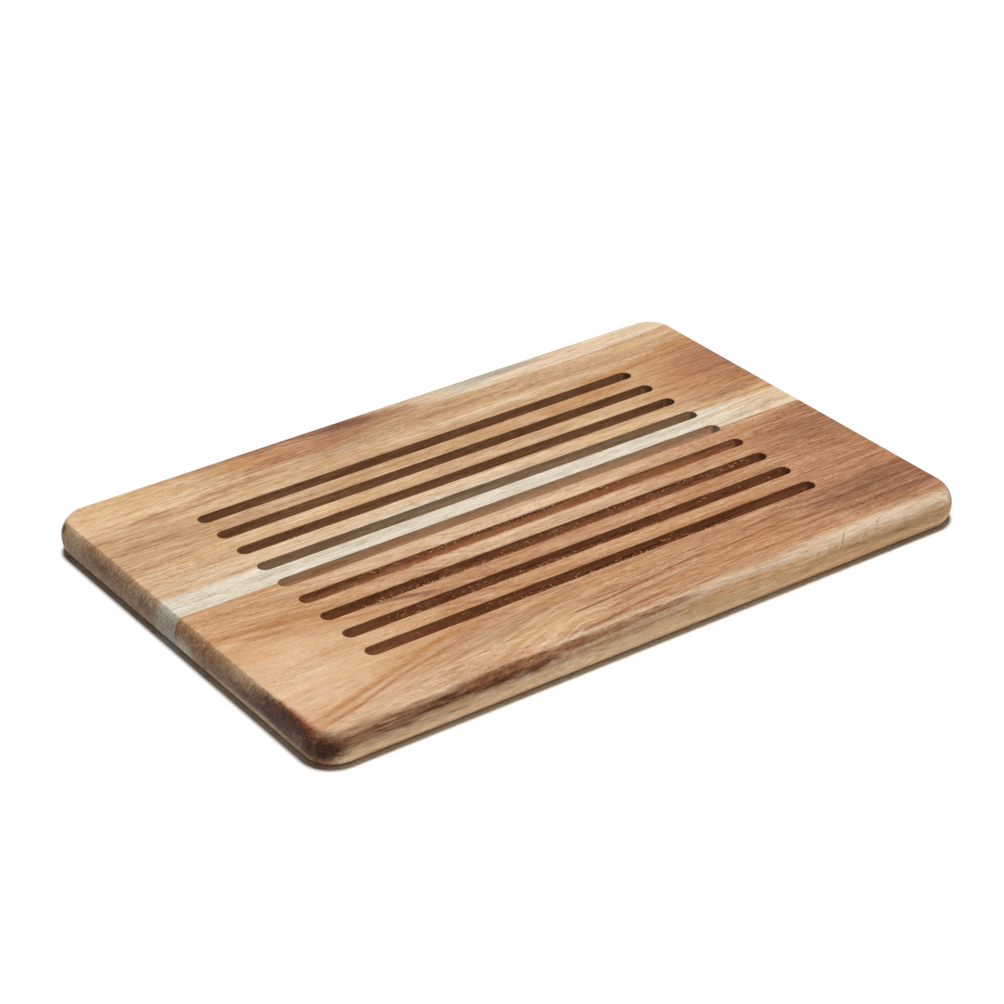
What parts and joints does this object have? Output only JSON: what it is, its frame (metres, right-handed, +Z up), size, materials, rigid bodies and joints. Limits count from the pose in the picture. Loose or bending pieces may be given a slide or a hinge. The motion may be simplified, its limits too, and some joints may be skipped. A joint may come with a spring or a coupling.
{
  "type": "bread board",
  "caption": "Rounded wooden bread board of edge-glued planks with parallel round-ended crumb grooves in its top.",
  "frame": {"origin": "centre of the underside, on the surface that the board lies on", "axes": "+X along the grain and the grooves, +Y towards the rear plank, +Z up out of the grooved face"},
  "size_m": [0.377, 0.251, 0.018],
  "materials": {
    "rear_wood": "oiled satin",
    "front_wood": "oiled satin",
    "glue": "cured wood glue, matt"
  },
  "bodies": {
    "root": {"rear_plank": "rear_wood", "front_plank": "front_wood", "glue_line": "glue"}
  },
  "joints": []
}
